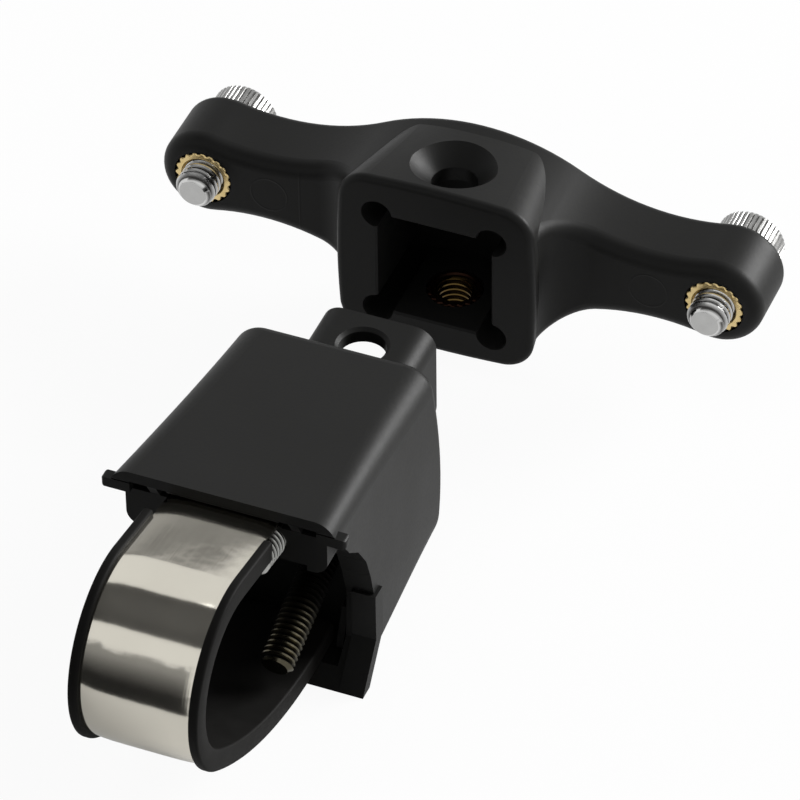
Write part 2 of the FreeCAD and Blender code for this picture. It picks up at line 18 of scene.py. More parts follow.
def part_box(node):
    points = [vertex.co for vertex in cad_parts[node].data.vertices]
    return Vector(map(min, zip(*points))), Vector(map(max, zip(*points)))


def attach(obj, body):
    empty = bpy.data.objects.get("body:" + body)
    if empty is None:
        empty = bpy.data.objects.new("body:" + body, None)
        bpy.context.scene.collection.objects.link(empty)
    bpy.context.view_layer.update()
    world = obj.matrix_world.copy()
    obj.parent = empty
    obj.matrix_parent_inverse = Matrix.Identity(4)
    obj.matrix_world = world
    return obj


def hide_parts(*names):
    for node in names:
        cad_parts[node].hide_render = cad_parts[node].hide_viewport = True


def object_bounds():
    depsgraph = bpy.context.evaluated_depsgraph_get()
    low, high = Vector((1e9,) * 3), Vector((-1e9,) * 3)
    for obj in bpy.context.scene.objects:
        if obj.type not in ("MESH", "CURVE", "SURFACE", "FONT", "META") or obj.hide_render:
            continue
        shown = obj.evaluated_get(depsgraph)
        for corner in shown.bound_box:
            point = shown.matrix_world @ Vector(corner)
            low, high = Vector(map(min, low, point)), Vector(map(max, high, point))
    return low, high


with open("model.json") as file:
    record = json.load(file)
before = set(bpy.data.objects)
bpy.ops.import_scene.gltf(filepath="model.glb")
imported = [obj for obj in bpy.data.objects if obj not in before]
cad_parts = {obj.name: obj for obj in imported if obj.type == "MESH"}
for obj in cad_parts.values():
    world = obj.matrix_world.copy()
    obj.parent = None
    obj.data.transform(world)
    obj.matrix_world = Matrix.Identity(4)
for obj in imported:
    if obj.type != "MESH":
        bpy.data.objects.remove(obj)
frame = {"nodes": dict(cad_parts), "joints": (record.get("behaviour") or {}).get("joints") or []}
nodes = frame["nodes"]
cad_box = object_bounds()
MM = 0.001
print("nodes:", sorted(nodes))
print("box in mm:", [[round(v / MM, 1) for v in corner] for corner in cad_box])

# %% [markdown]
# ## Camera
# A product photograph like this one is taken from far away with a long lens, so that both
# halves keep their proportions.  The camera could be aimed by hand, but a lens, three angles
# and one known point say the same thing in a few numbers: the point midway between the two
# brass inserts is known in the frame, and so is where it should lie in the picture.

# %% Place the camera
LENS_MM = 276.3
SENSOR_MM = 36.0
PICTURE_PIXELS = 800
AZIMUTH = math.radians(22.54)
ELEVATION = math.radians(41.63)
ROLL = math.radians(-0.73)
DEPTH = 714.94 * MM
KNOWN_PIXEL = (454.88, 241.80)
CLIP_NEAR = 0.05
CLIP_FAR = 20

left_low, left_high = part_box("cage_insert_left")
right_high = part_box("cage_insert_right")[1]
known_point = Vector((
    (left_low.x + right_high.x) / 2,
    left_low.y,
    (left_low.z + left_high.z) / 2,
))
level_right = Vector((math.cos(AZIMUTH), math.sin(AZIMUTH), 0))
forward = Vector((
    -math.sin(AZIMUTH) * math.cos(ELEVATION),
    math.cos(AZIMUTH) * math.cos(ELEVATION),
    -math.sin(ELEVATION),
))
level_up = level_right.cross(forward)
right = level_right * math.cos(ROLL) + level_up * math.sin(ROLL)
up = level_up * math.cos(ROLL) - level_right * math.sin(ROLL)
pixel_size = SENSOR_MM / LENS_MM / PICTURE_PIXELS * DEPTH
aside = (KNOWN_PIXEL[0] - PICTURE_PIXELS / 2) * pixel_size
above = (PICTURE_PIXELS / 2 - KNOWN_PIXEL[1]) * pixel_size
eye = known_point - right * aside - up * above - forward * DEPTH

camera_data = bpy.data.cameras.new("camera")
camera_data.lens = LENS_MM
camera_data.sensor_width = SENSOR_MM
camera_data.clip_start = CLIP_NEAR
camera_data.clip_end = CLIP_FAR
camera = bpy.data.objects.new("camera", camera_data)
turn = Matrix((right, up, -forward)).transposed().to_4x4()
camera.matrix_world = Matrix.Translation(eye) @ turn
bpy.context.scene.collection.objects.link(camera)
bpy.context.scene.camera = camera
bpy.context.scene.view_settings.view_transform = "Standard"
print("camera at", [round(v, 3) for v in eye])

# %% [markdown]
# ## A short way to write shaders
# A node tree is wordy to build by hand.  Here a small class wraps a socket, so that sums and
# products of sockets add their own Math nodes, and one method makes any other node from its
# type, its settings and what goes into its sockets.  A finish is then a few lines of plain
# arithmetic.


# %% Sockets that can be added and multiplied
class Signal:
    """A value inside a node tree; arithmetic on it adds Math nodes."""

    def __init__(self, network, socket):
        self.network = network
        self.socket = socket

    def math(self, operation, first, second=0.0):
        return self.network.node("Math", {"operation": operation}, {0: first, 1: second})

    def __add__(self, other):
        return self.math("ADD", self, other)

    def __radd__(self, other):
        return self.math("ADD", other, self)

    def __sub__(self, other):
        return self.math("SUBTRACT", self, other)

    def __rsub__(self, other):
        return self.math("SUBTRACT", other, self)

    def __mul__(self, other):
        return self.math("MULTIPLY", self, other)

    def __rmul__(self, other):
        return self.math("MULTIPLY", other, self)

    def __truediv__(self, other):
        return self.math("DIVIDE", self, other)

    def __rtruediv__(self, other):
        return self.math("DIVIDE", other, self)

    def __pow__(self, other):
        return self.math("POWER", self, other)

    def __abs__(self):
        return self.math("ABSOLUTE", self)

    def limited(self):
        """The value held between 0 and 1."""
        return self.math("MINIMUM", self.math("MAXIMUM", self, 0.0), 1.0)


print("sockets can be used in sums")


# %% Node trees and finishes
class Network:
    """A node tree with one call that makes any node."""

    def __init__(self, tree):
        self.tree = tree

    def node(self, kind, settings, inputs, output=0):
        made = self.tree.nodes.new("ShaderNode" + kind)
        for label, value in settings.items():
            setattr(made, label, value)
        for label, value in inputs.items():
            self.join(made.inputs[label], value)
        return Signal(self, made.outputs[output])

    def join(self, place, value):
        if isinstance(value, Signal):
            self.tree.links.new(value.socket, place)
        else:
            place.default_value = value

    def place(self):
        return self.node("TexCoord", {}, {}, output="Object")

    def axis(self, letter):
        return self.node("SeparateXYZ", {}, {0: self.place()}, output=letter)

    def noise(self, scale, detail, stretch=(1, 1, 1)):
        vector = self.node("Mapping", {}, {"Vector": self.place(), "Scale": stretch})
        return self.node("TexNoise", {}, {"Vector": vector, "Scale": scale, "Detail": detail})

    def colours(self, factor, first, second):
        return self.node("Mix", {"data_type": "RGBA"}, {0: factor, 6: first, 7: second}, output=2)


class Finish(Network):
    """A material with one Principled shader."""

    def __init__(self, name, constants, slot=None):
        self.slot = slot or name
        self.material = bpy.data.materials.new(name)
        self.material.use_nodes = True
        super().__init__(self.material.node_tree)
        self.shader = self.tree.nodes["Principled BSDF"]
        for label, value in constants.items():
            self.shader.inputs[label].default_value = value

    def feed(self, label, value):
        self.join(self.shader.inputs[label], value)

    def bump(self, height, strength, distance):
        sockets = {"Height": height, "Strength": strength, "Distance": distance}
        self.feed("Normal", self.node("Bump", {}, sockets))

    def put_on(self, *names):
        for name in names:
            nodes[name].material_slots[0].material = self.material


def opaque(red, green, blue):
    return (red, green, blue, 1.0)


print("finishes can be written")

# %% [markdown]
# ## Moulded nylon
# The housing and the bracket are black glass-filled nylon.  The mould is lightly spark-eroded,
# so the skin is matte with a fine grain and a soft sheen, and the flow of the plastic leaves
# faint cloudy changes of gloss.  The pins that push the bracket out of its mould leave a
# shallow ring on the front of each arm, and two halves of the mould leave a fine line beside
# one of them.  These could be cut into the mesh, but they are a few hundredths of a millimetre
# deep, so they go into the bump.

# %% Nylon finish
RING_X = (-23.5 * MM, 24.0 * MM)
RING_RADIUS = 2.3 * MM
LINE_X = -19.6 * MM
MARK_WIDTH = 0.16 * MM
MARK_REACH = 0.4 * MM
CLOUD_SCALE = 90.0
GRAIN_SCALE = 2600.0
GRAIN_RISE = 0.4
MARK_RISE = 1.8
NYLON_DARK = opaque(0.0075, 0.0075, 0.0072)
NYLON_PALE = opaque(0.0115, 0.0115, 0.0109)

nylon = Finish("nylon_black", {"IOR": 1.46, "Specular IOR Level": 0.13})
clouds = nylon.noise(CLOUD_SCALE, detail=3.0)
grain = nylon.noise(GRAIN_SCALE, detail=3.0)
nylon.feed("Base Color", nylon.colours(clouds, NYLON_DARK, NYLON_PALE))
nylon.feed("Roughness", 0.33 + 0.15 * clouds + 0.09 * grain)
x_place = nylon.axis("X")
z_place = nylon.axis("Z") - known_point.z
on_front = (1 - abs(nylon.axis("Y") - known_point.y) / MARK_REACH).limited()
marks = (1 - abs(x_place - LINE_X) / MARK_WIDTH).limited()
for ring_x in RING_X:
    reach = ((x_place - ring_x) ** 2.0 + z_place * z_place) ** 0.5
    marks = marks + (1 - abs(reach - RING_RADIUS) / MARK_WIDTH).limited()
skin = grain * GRAIN_RISE + marks * on_front * MARK_RISE
nylon.bump(skin, strength=0.35, distance=0.05 * MM)
nylon.put_on("clamp_housing", "cage_bracket")
print("nylon on the housing and the bracket")

# %% [markdown]
# ## Rubber, steel, brass and plating
# The strap's liner is softer and duller than the nylon, with a fine talc-like mottling.  The
# band is rolled stainless steel, polished along its length, so its faint scratches run round
# the loop.  Painted scratches would need a picture, so noise is stretched instead until it
# changes quickly across the band and slowly along it.  The brass inserts are turned.  The
# screws are plated and duller where the mesh says that a surface is knurled; deep in a thread
# or a knurl groove the plating is darkened as painted shade, and the clamp's screws carry
# painted shade that darkens them away from their tips.  The two screws of the clamp and the
# insert in the socket lie in shade, so their finishes are darkened as painted shade.

# %% Rubber
MOTTLE_SCALE = 420.0
PORE_SCALE = 3200.0
RUBBER_DARK = opaque(0.0048, 0.0046, 0.0043)
RUBBER_PALE = opaque(0.0085, 0.0082, 0.0077)

rubber = Finish("rubber_black", {"IOR": 1.45, "Specular IOR Level": 0.06})
mottle = rubber.noise(MOTTLE_SCALE, detail=4.0)
pores = rubber.noise(PORE_SCALE, detail=2.0)
rubber.feed("Base Color", rubber.colours(mottle, RUBBER_DARK, RUBBER_PALE))
rubber.feed("Roughness", 0.48 + 0.16 * mottle)
rubber.bump(pores, strength=0.2, distance=0.05 * MM)
print("rubber ready")

# %% Metals
SCRATCH_STRETCH = (5200.0, 60.0, 60.0)
SMEAR_SCALE = 140.0
TURNED_SCALE = 900.0
SPECK_SCALE = 700.0
BAND_DARK = opaque(0.63, 0.60, 0.525)
BAND_PALE = opaque(0.72, 0.69, 0.605)
BRASS_DARK = opaque(0.60, 0.44, 0.18)
BRASS_PALE = opaque(0.82, 0.66, 0.36)

band_steel = Finish("band_steel", {"Metallic": 1.0})
scratches = band_steel.noise(1.0, detail=2.0, stretch=SCRATCH_STRETCH)
smears = band_steel.noise(SMEAR_SCALE, detail=3.0)
band_steel.feed("Base Color", band_steel.colours(smears, BAND_DARK, BAND_PALE))
band_steel.feed("Roughness", 0.07 + 0.03 * scratches + 0.06 * smears)
band_steel.bump(scratches * 0.06 + smears, strength=0.35, distance=0.12 * MM)

brass = Finish("brass", {"Metallic": 1.0})
turned = brass.noise(TURNED_SCALE, detail=3.0)
brass.feed("Base Color", brass.colours(turned, BRASS_DARK, BRASS_PALE))
brass.feed("Roughness", 0.26 + 0.16 * turned)
brass.bump(turned, strength=0.12, distance=0.04 * MM)
brass.put_on("tension_insert")


def plated(name, bright, dull, gloss, slot=None):
    """Metal between a bright and a dull colour, by the depth that the mesh stores; the dull end
    paints shade into thread roots and grooves.
    """
    made = Finish(name, {"Metallic": 1.0}, slot)
    depth = made.node("Attribute", {"attribute_name": "depth"}, {}, output="Fac")
    specks = made.noise(SPECK_SCALE, detail=3.0)
    made.feed("Base Color", made.colours((depth + specks * 0.12).limited(), bright, dull))
    made.feed("Roughness", gloss + 0.08 * specks + 0.28 * depth)
    made.bump(specks, strength=0.05, distance=0.03 * MM)
    return made


screw_chrome = plated(
    "screw_chrome",
    bright=opaque(0.68, 0.68, 0.67),
    dull=opaque(0.09, 0.088, 0.085),
    gloss=0.08,
)
# The tension screw lies deep in the housing, so its steel is darkened as painted shade.
screw_steel = plated(
    "screw_steel",
    bright=opaque(0.10, 0.09, 0.062),
    dull=opaque(0.005, 0.0046, 0.004),
    gloss=0.18,
)
anchor_steel = plated(
    "anchor_steel",
    bright=opaque(0.46, 0.46, 0.44),
    dull=opaque(0.012, 0.012, 0.011),
    gloss=0.16,
    slot="screw_steel",
)
# The socket's insert lies in shade, so its brass is darkened as painted shade.
brass_shaded = plated(
    "brass_shaded",
    bright=opaque(0.13, 0.085, 0.028),
    dull=opaque(0.026, 0.012, 0.008),
    gloss=0.12,
    slot="brass",
)
print("metals ready")

# %% [markdown]
# ## From a mesh to a finished piece
# Every new piece ends in the same way: its place goes into its mesh, faces that meet softly are
# shaded smooth, the solid it stands for is hidden, and it is told which body it moves with.

# %% Finish a piece
SMOOTH_ANGLE = 32


def finished(bm, name, place, finish, node, body, smooth_angle=SMOOTH_ANGLE):
    """Makes an object of a mesh with its finish, hides the node it stands for and joins it to its
    body.
    """
    bm.transform(place)
    mesh = bpy.data.meshes.new(name)
    bm.to_mesh(mesh)
    bm.free()
    mesh.shade_smooth()
    mesh.set_sharp_from_angle(angle=math.radians(smooth_angle))
    mesh.materials.append(finish.material)
    made = bpy.data.objects.new(name, mesh)
    bpy.context.scene.collection.objects.link(made)
    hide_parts(node)
    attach(made, body)
    print(name, len(mesh.polygons), "faces")


print("pieces can be finished")

# %% [markdown]
# ## The strap
# A strap has one cross-section all along.  It could be bent with a curve, but two spins and one
# extrusion follow it exactly: the front of the loop is an arc round the tube, the tail is a
# wide arc towards the lower jaw, and the top run is straight.  The steel band is slightly
# crowned, because rolling leaves its edges turned down, and the liner is a channel with soft
# lips.

# %% Sweep a section round the loop
TUBE_RADIUS = 8.9
LINER_FLOOR = 1.5
RIM_RADIUS = 11.5
TAIL_RADIUS = 47.0
TOP_ANGLE = math.radians(80.4)
ARC_END = math.radians(233.0)
TAIL_END = math.radians(275.0)
ARC_STEPS = 60
TAIL_STEPS = 24
tail_reach = (RIM_RADIUS - TAIL_RADIUS) * MM
tail_centre = Vector((0, tail_reach * math.cos(ARC_END), tail_reach * math.sin(ARC_END)))
run_direction = Vector((0, math.sin(TOP_ANGLE), -math.cos(TOP_ANGLE)))


def strap_sweep(section, top_run, tail_end):
    """Carries a ring of (x, distance from the tube's centre) points round the loop."""
    bm = bmesh.new()
    ring = []
    for x, radius in section:
        spot = Vector((x, radius * math.cos(TOP_ANGLE), radius * math.sin(TOP_ANGLE)))
        ring.append(bm.verts.new(spot * MM))
    edges = [bm.edges.new(pair) for pair in zip(ring, ring[1:] + ring[:1])]
    start = ring + edges
    arc = {"axis": (1, 0, 0), "dvec": (0, 0, 0)}
    front = bmesh.ops.spin(
        bm,
        geom=start,
        cent=(0, 0, 0),
        angle=ARC_END - TOP_ANGLE,
        steps=ARC_STEPS,
        **arc,
    )
    bmesh.ops.spin(
        bm,
        geom=front["geom_last"],
        cent=tail_centre,
        angle=tail_end - ARC_END,
        steps=TAIL_STEPS,
        **arc,
    )
    grown = bmesh.ops.extrude_edge_only(bm, edges=edges)
    tops = [item for item in grown["geom"] if isinstance(item, bmesh.types.BMVert)]
    bmesh.ops.translate(bm, verts=tops, vec=run_direction * top_run * MM)
    bmesh.ops.holes_fill(bm, edges=[edge for edge in bm.edges if edge.is_boundary], sides=0)
    bmesh.ops.recalc_face_normals(bm, faces=bm.faces)
    return bm


SHARP_CORNER = math.radians(50)
CORNER_SEGMENTS = 3


def soften_long_edges(bm, radius):
    """Rounds the outward corners that run along the strap."""
    chosen = []
    for edge in bm.edges:
        sides = [len(face.verts) for face in edge.link_faces]
        if sides == [4, 4] and edge.is_convex and edge.calc_face_angle() > SHARP_CORNER:
            chosen.append(edge)
    bmesh.ops.bevel(
        bm,
        geom=chosen,
        offset=radius,
        offset_type="OFFSET",
        segments=CORNER_SEGMENTS,
        profile=0.5,
        affect="EDGES",
        material=-1,
    )


print("sweep ready")

# %% Steel band
BAND_TOP_RUN = 24.5
BAND_SHORTER = 2.0
BAND_TAIL_END = TAIL_END - BAND_SHORTER / TAIL_RADIUS
BAND_HALF = 6.35
BAND_CROWN = [
    (0.0, 11.1),
    (2.5, 11.1),
    (4.0, 11.08),
    (5.0, 11.03),
    (5.8, 10.96),
    (BAND_HALF, 10.89),
]
BAND_INNER = 10.43
BAND_SMOOTH_ANGLE = 60

half = BAND_CROWN + [(BAND_HALF, BAND_INNER)]
other_half = [(-x, radius) for x, radius in reversed(half[1:])]
bm = strap_sweep(half + other_half, BAND_TOP_RUN, BAND_TAIL_END)
AS_SWEPT = Matrix()
finished(bm, "steel_band_crowned", AS_SWEPT, band_steel, "steel_band", "clamp", BAND_SMOOTH_ANGLE)

# %% Rubber liner
LINER_TOP_RUN = 7.7
LINER_HALF = 7.5
CHANNEL_HALF = 6.38
LIP_ROUND = 0.32 * MM
channel_floor = TUBE_RADIUS + LINER_FLOOR
corner_line = [
    (LINER_HALF, TUBE_RADIUS),
    (LINER_HALF, RIM_RADIUS),
    (CHANNEL_HALF, RIM_RADIUS),
    (CHANNEL_HALF, channel_floor),
]
other_half = [(-x, radius) for x, radius in reversed(corner_line)]
bm = strap_sweep(corner_line + other_half, LINER_TOP_RUN, TAIL_END)
soften_long_edges(bm, LIP_ROUND)
finished(bm, "rubber_liner_soft", AS_SWEPT, rubber, "rubber_liner", "clamp")

# %% [markdown]
# ## Turned bodies
# Heads and inserts are turned parts with teeth round them.  A lathe outline spun round would
# lose the teeth, so a circle is extruded from ring to ring instead: each ring has its own
# radius, height and depth of tooth.  Square teeth are wide, with narrow grooves between them.

# %% Rings one after another
STEPS_PER_TOOTH = 8
WELD = 0.001 * MM


def within(value):
    """The value held between 0 and 1."""
    return min(max(value, 0.0), 1.0)


def stacked_rings(bm, teeth, rings, square):
    """Extrudes a circle along +Y from ring to ring, each given as radius, height, tooth depth."""
    count = teeth * STEPS_PER_TOOTH
    made = bmesh.ops.create_circle(bm, cap_ends=False, segments=count, radius=1.0)
    verts = made["verts"]
    upright = Matrix.Rotation(math.pi / 2, 3, "X")
    bmesh.ops.rotate(bm, verts=verts, cent=(0, 0, 0), matrix=upright)
    edges = list({edge for vert in verts for edge in vert.link_edges})
    for index, (radius, height, depth) in enumerate(rings):
        if index:
            grown = bmesh.ops.extrude_edge_only(bm, edges=edges)["geom"]
            verts = [item for item in grown if isinstance(item, bmesh.types.BMVert)]
            edges = [item for item in grown if isinstance(item, bmesh.types.BMEdge)]
        for vert in verts:
            angle = math.atan2(vert.co.z, vert.co.x)
            wave = 0.5 - 0.5 * math.cos(angle * teeth)
            if square:
                wave = within(3 * wave - 2)
            reach = radius - depth * wave
            vert.co = (reach * math.cos(angle), height, reach * math.sin(angle))


def close_ends(bm):
    """Welds the points that meet, fills the open ends and turns the faces outward."""
    bmesh.ops.remove_doubles(bm, verts=bm.verts, dist=WELD)
    bmesh.ops.holes_fill(bm, edges=[edge for edge in bm.edges if edge.is_boundary], sides=0)
    bmesh.ops.recalc_face_normals(bm, faces=bm.faces)


print("rings ready")

# %% [markdown]
# ## Threads
# A thread is one tooth's outline turned round an axis while it climbs by one pitch.  The spin
# operator does exactly that when it is given a small step along the axis as well: a saw-tooth
# line is spun once, and its end meets the next tooth of its start.  Two cuts then trim the
# thread to length.

# %% Thread surface
THREAD_STEPS = 48
TOOTH = ((0.0, 0.0), (0.125, 0.0), (0.44, 1.0), (0.69, 1.0))
LEAD_TURNS = 2
SPARE_TURNS = 3
SEAM_SHARE = 0.005


def thread_surface(bm, start, end, root, crest, pitch):
    """Adds a right-hand thread along +Y that is open at both ends."""
    teeth = math.ceil((end - start) / pitch) + SPARE_TURNS
    first = start - LEAD_TURNS * pitch
    outline = []
    for tooth in range(teeth):
        for share, rise in TOOTH:
            reach = root + (crest - root) * rise
            outline.append(bm.verts.new((reach, first + (tooth + share) * pitch, 0)))
    outline.append(bm.verts.new((root, first + teeth * pitch, 0)))
    edges = [bm.edges.new(pair) for pair in zip(outline, outline[1:])]
    bmesh.ops.spin(
        bm,
        geom=outline + edges,
        cent=(0, 0, 0),
        axis=(0, 1, 0),
        dvec=(0, pitch / THREAD_STEPS, 0),
        angle=2 * math.pi,
        steps=THREAD_STEPS,
    )
    bmesh.ops.remove_doubles(bm, verts=bm.verts, dist=pitch * SEAM_SHARE)
    for place, normal in ((start, (0, -1, 0)), (end, (0, 1, 0))):
        bmesh.ops.bisect_plane(
            bm,
            geom=bm.verts[:] + bm.edges[:] + bm.faces[:],
            plane_co=(0, place, 0),
            plane_no=normal,
            clear_outer=True,
        )


def point_tip(bm, tip_y, chamfer, radius):
    """Narrows a rod towards its tip, as a chamfer on the end does."""
    for vert in bm.verts:
        allowed = radius - chamfer + (vert.co.y - tip_y)
        reach = math.hypot(vert.co.x, vert.co.z)
        if reach > allowed:
            vert.co.x *= allowed / reach
            vert.co.z *= allowed / reach


print("threads ready")

# %% [markdown]
# ## Thumbscrews
# Each thumbscrew has a straight-knurled head behind the arm and an M5 thread that shows ahead
# of it, with a chamfered tip.  The thread is spun and the head is extruded, so they are made
# apart and joined in one mesh.  How deep each point lies in the thread or in the knurl is
# stored in the mesh, and the plating reads it to darken roots and grooves as painted shade.
# The cut tip and the knurled rim are duller all over.

# %% Thumbscrews
CAGE_PITCH = 0.8 * MM
CAGE_RADIUS = 2.45 * MM
CAGE_ROOT = 1.98 * MM
THREAD_FLOOR = CAGE_ROOT * 0.99
TIP_CHAMFER = 0.8 * MM
KNURL_TEETH = 44
KNURL_DEPTH = 0.22 * MM
KNURL_BAND = 1.2 * KNURL_DEPTH
HEAD_HEIGHT = 4.0 * MM
HEAD_RIM = 0.4 * MM
DISH_RADIUS = 2.7 * MM
DISH_FLOOR = 2.4 * MM
DISH_DEPTH = 0.45 * MM
NECK_OVERLAP = 0.2 * MM
CUT_END = 0.05 * MM
CUT_DULL = 0.3
KNURL_DULL = 0.58
# Extra darkening towards the bottom of each knurl groove, as painted shade.
GROOVE_DULL = 0.27


def knurled_head(bm, radius, base):
    top = base + HEAD_HEIGHT
    stacked_rings(bm, KNURL_TEETH, (
        (radius - HEAD_RIM, base, 0.0),
        (radius, base + HEAD_RIM, KNURL_DEPTH),
        (radius, top - HEAD_RIM, KNURL_DEPTH),
        (radius - HEAD_RIM, top, 0.0),
        (DISH_RADIUS, top, 0.0),
        (DISH_FLOOR, top - DISH_DEPTH, 0.0),
    ), True)
    close_ends(bm)


def store_depth(bm, tip, head_base, head_radius):
    """Stores 0 where the plating is bright, up to 1 where it is dull; in the thread roots and knurl
    grooves the dullness is painted shade.
    """
    layer = bm.verts.layers.float.new("depth")
    for vert in bm.verts:
        reach = math.hypot(vert.co.x, vert.co.z)
        if vert.co.y < tip + CUT_END:
            vert[layer] = CUT_DULL
        elif vert.co.y < head_base and reach > THREAD_FLOOR:
            vert[layer] = within((CAGE_RADIUS - reach) / (CAGE_RADIUS - CAGE_ROOT))
        elif reach > head_radius - KNURL_BAND:
            vert[layer] = KNURL_DULL + GROOVE_DULL * within((head_radius - reach) / KNURL_DEPTH)


def thumbscrew(node, body):
    low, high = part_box(node)
    axis = Vector(((low.x + high.x) / 2, 0, (low.z + high.z) / 2))
    head_base = high.y - HEAD_HEIGHT
    head_radius = (high.x - low.x) / 2
    bm = bmesh.new()
    neck = head_base + NECK_OVERLAP
    thread_surface(bm, low.y, neck, CAGE_ROOT, CAGE_RADIUS, CAGE_PITCH)
    point_tip(bm, low.y, TIP_CHAMFER, CAGE_RADIUS)
    close_ends(bm)
    knurled_head(bm, head_radius, head_base)
    store_depth(bm, low.y, head_base, head_radius)
    finished(bm, node + "_threaded", Matrix.Translation(axis), screw_chrome, node, body)


thumbscrew("thumbscrew_left", "left_screw")
thumbscrew("thumbscrew_right", "right_screw")

# %% [markdown]
# ## The clamp's screws
# Two set screws lie inside the housing.  One shows its round-edged tip inside the loop, the
# other a few turns of thread beside the band.  Both are threaded rods laid along their own
# axes, which the joints of the frame give.  Painted shade darkens them away from their tips,
# where they reach into the dark inside of the housing, and in their thread roots.

# %% Clamp screws
CLAMP_PITCH = 0.7 * MM
CLAMP_RADIUS = 2.0 * MM
CLAMP_ROOT = 1.58 * MM
CLAMP_CHAMFER = 0.5 * MM
TIP_LAND = 0.45 * MM
# Lengths that set the painted shade darkening the clamp screws away from their tips.
TENSION_UNSHADED = 3.0 * MM
ANCHOR_UNSHADED = 12.0 * MM
SHADE_FADE = 6.0 * MM
joints = {joint["name"]: joint for joint in frame["joints"]}


def clamp_screw(node, body, joint_name, finish, unshaded_length):
    joint = joints[joint_name]
    tip = Vector(joint["pos_m"])
    direction = Vector(joint["axis"]).normalized()
    length = max((vert.co - tip).dot(direction) for vert in nodes[node].data.vertices)
    bm = bmesh.new()
    thread_surface(bm, 0.0, length, CLAMP_ROOT, CLAMP_RADIUS, CLAMP_PITCH)
    point_tip(bm, 0.0, CLAMP_CHAMFER, CLAMP_RADIUS)
    close_ends(bm)
    layer = bm.verts.layers.float.new("depth")
    for vert in bm.verts:
        reach = math.hypot(vert.co.x, vert.co.z)
        if vert.co.y > TIP_LAND:
            # Painted shade: darker along the screw beyond its unshaded length, and in the thread
            # roots.
            painted_shade = (vert.co.y - unshaded_length) / SHADE_FADE
            vert[layer] = within(max((CLAMP_RADIUS - reach) / (CLAMP_RADIUS - CLAMP_ROOT), painted_shade))
    lie = Vector((0, 1, 0)).rotation_difference(direction).to_matrix().to_4x4()
    finished(bm, node + "_threaded", Matrix.Translation(tip) @ lie, finish, node, body)


clamp_screw("tension_screw", "tension", "tension_turn", screw_steel, TENSION_UNSHADED)
clamp_screw("anchor_screw", "anchor", "anchor_turn", anchor_steel, ANCHOR_UNSHADED)

# %% [markdown]
# ## Brass inserts
# The inserts are pressed into the arms and into the bottom of the socket.  Their rims have
# round lobes that hold them in the nylon.  A ring of rings makes each one: up the bore, out
# over the rim, down the lobed outside and back to where it began.  The one in the socket is
# empty, so its thread shows.

# %% Lobed inserts
LOBES = 20
LOBE_DEPTH = 0.34 * MM
RIM_EDGE = 0.14 * MM
CAGE_OUTER = 3.6 * MM
CAGE_BORE = 2.5 * MM


def lobed_rim(bm, outer, bore, length):
    """A ring with a lobed rim along +Y, with its finished face at y = 0."""
    stacked_rings(bm, LOBES, (
        (bore, length, 0.0),
        (bore, 2 * RIM_EDGE, 0.0),
        (bore + 2 * RIM_EDGE, 0.0, 0.0),
        (outer - RIM_EDGE, 0.0, LOBE_DEPTH),
        (outer, RIM_EDGE, LOBE_DEPTH),
        (outer, length, LOBE_DEPTH),
        (bore, length, 0.0),
    ), False)
    close_ends(bm)


def cage_insert(node):
    low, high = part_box(node)
    axis = Vector(((low.x + high.x) / 2, low.y, (low.z + high.z) / 2))
    bm = bmesh.new()
    lobed_rim(bm, CAGE_OUTER, CAGE_BORE, high.y - low.y)
    finished(bm, node + "_lobed", Matrix.Translation(axis), brass, node, "bracket")


cage_insert("cage_insert_left")
cage_insert("cage_insert_right")

# %% Insert with its thread in view
LOCK_PITCH = 0.8 * MM
LOCK_TURNS = 5
LOCK_CREST = 2.08 * MM
LOCK_ROOT = 2.48 * MM
LOCK_WALL = 2.6 * MM
LOCK_OUTER = 3.4 * MM
LOCK_BORE = 2.55 * MM
RIM_NEAR = 0.01 * MM


def lock_insert(node):
    low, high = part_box(node)
    length = high.z - low.z
    bm = bmesh.new()
    start = (length - LOCK_TURNS * LOCK_PITCH) / 2
    end = start + LOCK_TURNS * LOCK_PITCH
    thread_surface(bm, start, end, LOCK_ROOT, LOCK_CREST, LOCK_PITCH)
    for place in (start, end):
        rims = [edge for edge in bm.edges if edge.is_boundary]
        rim = [edge for edge in rims if abs(edge.verts[0].co.y - place) < RIM_NEAR]
        grown = bmesh.ops.extrude_edge_only(bm, edges=rim)["geom"]
        for vert in (item for item in grown if isinstance(item, bmesh.types.BMVert)):
            share = LOCK_WALL / math.hypot(vert.co.x, vert.co.z)
            vert.co = (vert.co.x * share, place, vert.co.z * share)
    rims = [edge for edge in bm.edges if edge.is_boundary]
    bmesh.ops.bridge_loops(bm, edges=rims)
    bmesh.ops.recalc_face_normals(bm, faces=bm.faces)
    lobed_rim(bm, LOCK_OUTER, LOCK_BORE, length)
    # Painted shade: the thread roots are darker than the crests.
    layer = bm.verts.layers.float.new("depth")
    for vert in bm.verts:
        reach = math.hypot(vert.co.x, vert.co.z)
        vert[layer] = within((reach - LOCK_CREST) / (LOCK_ROOT - LOCK_CREST))
    place = Vector(((low.x + high.x) / 2, (low.y + high.y) / 2, high.z))
    tilt = Matrix.Rotation(math.radians(-90), 4, "X")
    lie = Matrix.Translation(place) @ tilt
    finished(bm, node + "_threaded", lie, brass_shaded, node, "bracket")


lock_insert("lock_insert")

# %% [markdown]
# ## Floor and light
# The picture has a plain white ground.  The floor is a pale sheet that the camera sees almost
# white, with a trace of the object's shadow left on it.  It could be lit until it is white, but
# so much light from below would flatten the black nylon, so it glows only for the camera and in
# mirrors.  The main light is a wide soft lamp from the right and behind, which lights the
# flanks and the rounded edges more than the tops, with a weak one overhead and a little light
# from all round.  In mirrors the floor is dim in front and brighter behind, most of all on the
# left.

